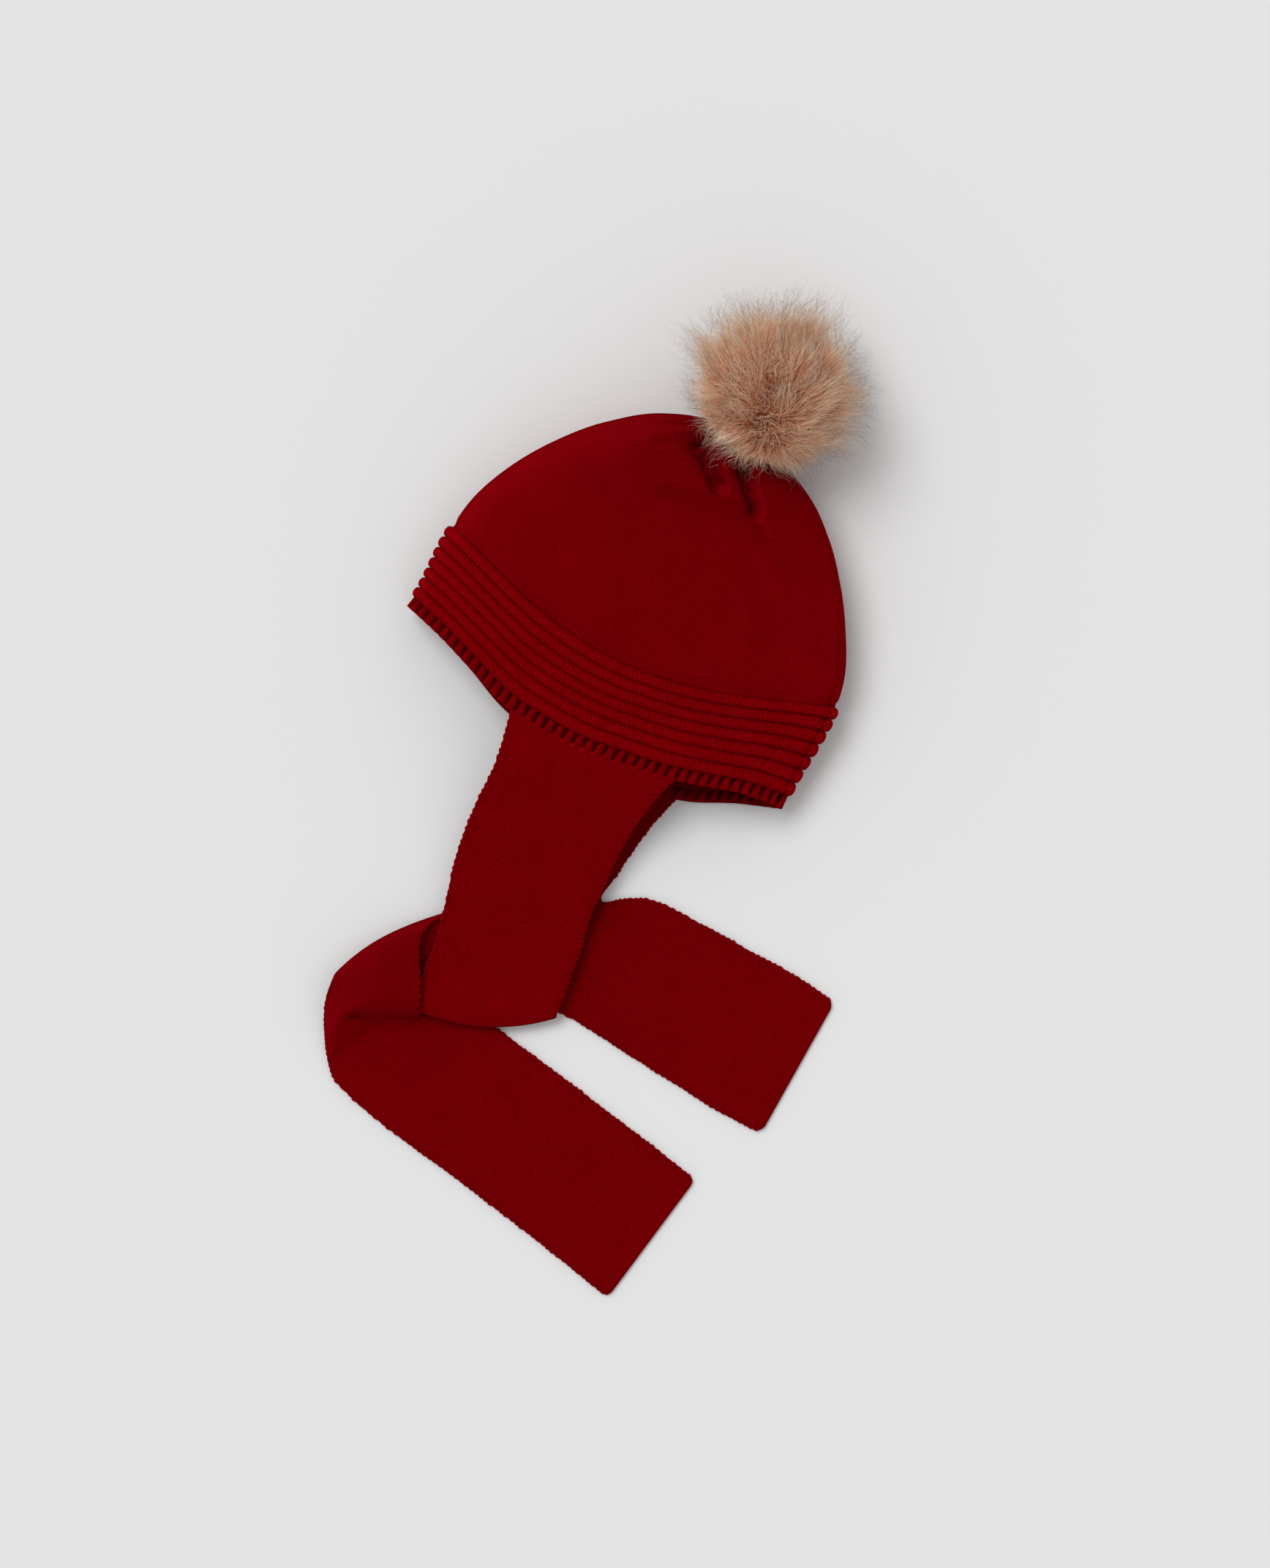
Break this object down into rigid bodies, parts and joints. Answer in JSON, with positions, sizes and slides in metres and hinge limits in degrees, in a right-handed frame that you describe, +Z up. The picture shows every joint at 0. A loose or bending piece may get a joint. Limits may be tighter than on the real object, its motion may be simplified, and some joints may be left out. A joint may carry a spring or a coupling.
{
  "type": "pom-pom hat",
  "caption": "Small child's knitted hat lying flat, with a welted band, a fur pompom on top and wide ear flaps that run into scarf ties.",
  "frame": {"origin": "on the floor, under the middle of the crown", "axes": "+X from the forehead side to the nape, +Y from the rim to the gathered top, +Z up from the floor that the hat lies on"},
  "size_m": [0.2633, 0.4495, 0.0831],
  "materials": {
    "red_knit": "matte, fine plain knit with rolled purl welts",
    "tan_fur": "soft fur with long guard hairs"
  },
  "bodies": {
    "root": {"crown": "red_knit", "welt_band": "red_knit", "brim_edging": "red_knit", "tie_left": "red_knit", "tie_right": "red_knit", "pompom": "tan_fur"}
  },
  "joints": []
}
